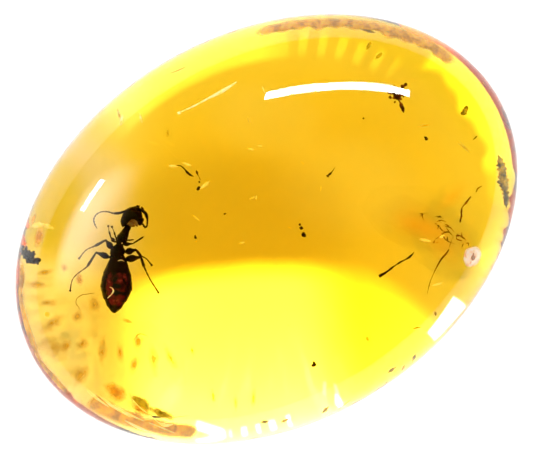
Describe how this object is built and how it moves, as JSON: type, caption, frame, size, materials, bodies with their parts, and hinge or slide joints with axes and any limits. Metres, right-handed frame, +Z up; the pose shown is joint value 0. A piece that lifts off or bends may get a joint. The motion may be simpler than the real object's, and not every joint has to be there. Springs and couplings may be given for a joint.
{
  "type": "insect in amber",
  "caption": "Polished oval amber cabochon with a flat underside and a domed top, holding a fossil ant and plant litter.",
  "frame": {"origin": "middle of the flat underside, which is the middle of the bottom of the object's box", "axes": "+X along the long axis of the oval, towards the end away from the ant; +Y across it; +Z up through the crown of the dome"},
  "size_m": [0.024, 0.0176, 0.0076],
  "materials": {
    "amber": "polished clear golden amber",
    "insect": "dark brown chitin, glossy on the gaster",
    "litter": "dark brown plant litter and resin flecks",
    "bubble": "pearly lining of a gas bubble and of stress cracks"
  },
  "bodies": {
    "root": {"amber": "amber"}
  },
  "joints": []
}
